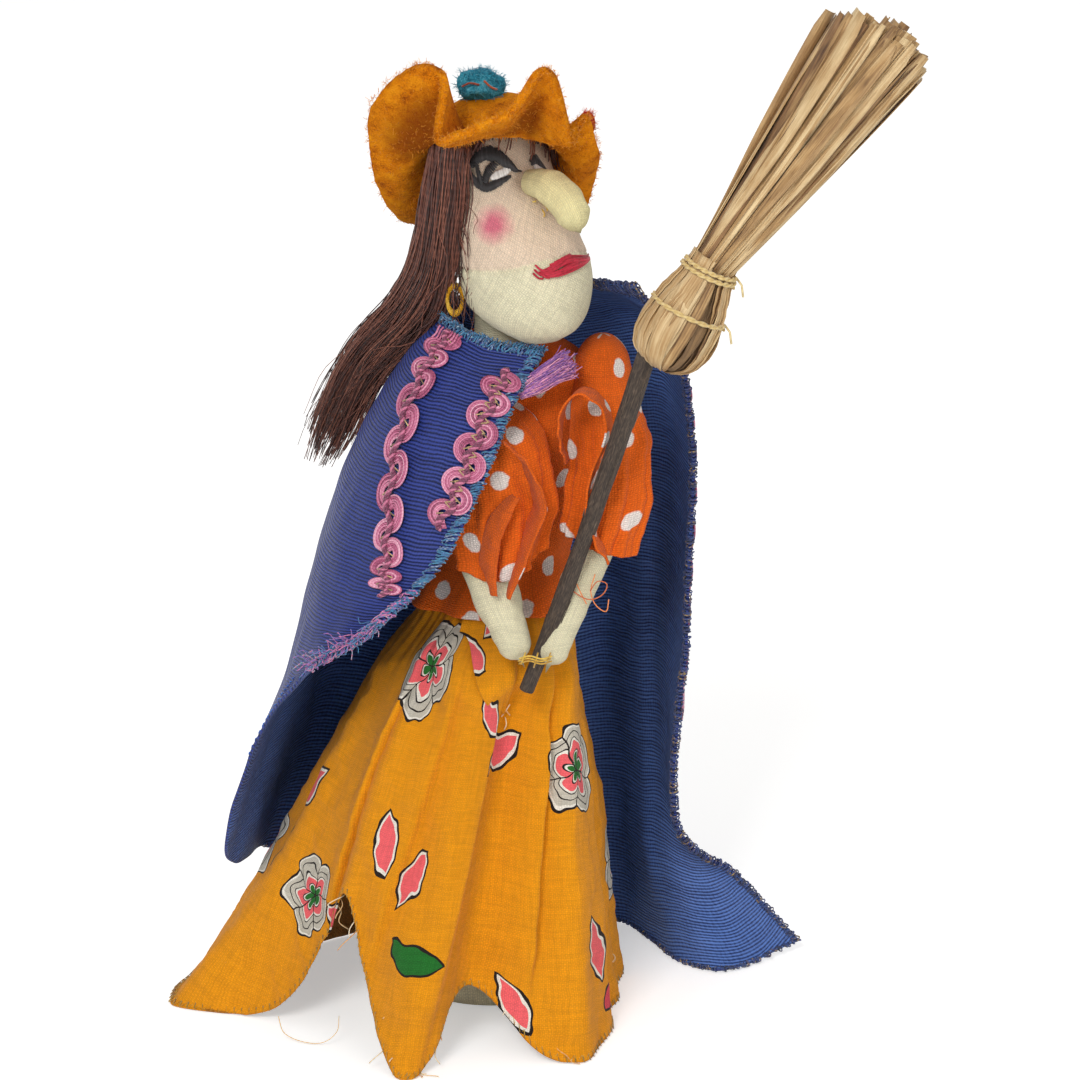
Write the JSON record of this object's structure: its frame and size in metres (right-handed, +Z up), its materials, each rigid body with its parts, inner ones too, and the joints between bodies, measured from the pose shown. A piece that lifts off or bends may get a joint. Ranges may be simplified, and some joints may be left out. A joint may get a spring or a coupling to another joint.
{
  "type": "cloth witch doll",
  "caption": "Stuffed cloth witch doll with ruffled felt hat, long nose, ribbed cape, gathered skirt and a straw broom held in both hands",
  "frame": {"origin": "middle of the flat foot of the stuffed body, on the surface the doll stands on", "axes": "+Z up, the doll's body faces -Y, its own right side is at -X"},
  "size_m": [0.19, 0.1093, 0.2745],
  "materials": {
    "stuffed_body": "ecru calico, plain weave",
    "neck_dowel": "bare turned beech dowel",
    "blouse": "orange cotton with small white dots",
    "skirt": "mustard cotton with a floral print",
    "head": "pinkish calico over cream calico, rouged cheek",
    "nose": "cream calico, sewn on",
    "mouth": "red satin stitch",
    "right_eye": "black and white embroidery",
    "left_eye": "black and white embroidery",
    "hair_fringe": "dark red-brown fibre hair",
    "hair_lock": "dark red-brown fibre hair",
    "ear_hoop": "mustard felt loop",
    "felt_hat": "thick orange felt, raw edge",
    "hat_puff": "teal felt, fluffy",
    "hat_scrap": "red felt",
    "right_arm": "ecru calico, plain weave",
    "left_arm": "ecru calico, plain weave",
    "right_sleeve": "orange cotton with small white dots",
    "left_sleeve": "orange cotton with small white dots",
    "hand_stitches": "yellow sewing thread",
    "cape": "ribbed violet-blue faille, slight sheen",
    "cape_gimp_outer": "pink satin gimp braid",
    "cape_gimp_front": "pink satin gimp braid",
    "cape_gimp_left": "pink satin gimp braid",
    "cape_tassel": "frayed pink and purple threads",
    "broom_stick": "weathered split wood",
    "broom_bulb": "dry corn husk strips",
    "broom_brush": "dry corn husk strips",
    "broom_lower_tie": "pale twine",
    "broom_upper_tie": "pale twine"
  },
  "bodies": {
    "doll": {"stuffed_body": "stuffed_body", "neck_dowel": "neck_dowel", "blouse": "blouse", "skirt": "skirt", "cape": "cape", "cape_gimp_outer": "cape_gimp_outer", "cape_gimp_front": "cape_gimp_front", "cape_gimp_left": "cape_gimp_left", "cape_tassel": "cape_tassel"},
    "head": {"head": "head", "nose": "nose", "mouth": "mouth", "right_eye": "right_eye", "left_eye": "left_eye", "hair_fringe": "hair_fringe", "hair_lock": "hair_lock", "ear_hoop": "ear_hoop", "felt_hat": "felt_hat", "hat_puff": "hat_puff", "hat_scrap": "hat_scrap"},
    "arms": {"right_arm": "right_arm", "left_arm": "left_arm", "right_sleeve": "right_sleeve", "left_sleeve": "left_sleeve", "hand_stitches": "hand_stitches"},
    "broom": {"broom_stick": "broom_stick", "broom_bulb": "broom_bulb", "broom_brush": "broom_brush", "broom_lower_tie": "broom_lower_tie", "broom_upper_tie": "broom_upper_tie"}
  },
  "joints": [
    {"name": "head_turn", "type": "hinge", "parent": "doll", "child": "head", "pos_m": [0.004, -0.002, 0.184], "axis": [0, 0, 1], "range_deg": [-15, 15], "deforming": ["hair_lock"]},
    {"name": "arms_swing", "type": "hinge", "parent": "doll", "child": "arms", "pos_m": [0.012, -0.006, 0.174], "axis": [-1, 0, 0], "range_deg": [0, 8]},
    {"name": "broom_slide", "type": "slide", "parent": "arms", "child": "broom", "axis": [0.314, 0, 0.9494], "range_m": [0, 0.05]}
  ]
}
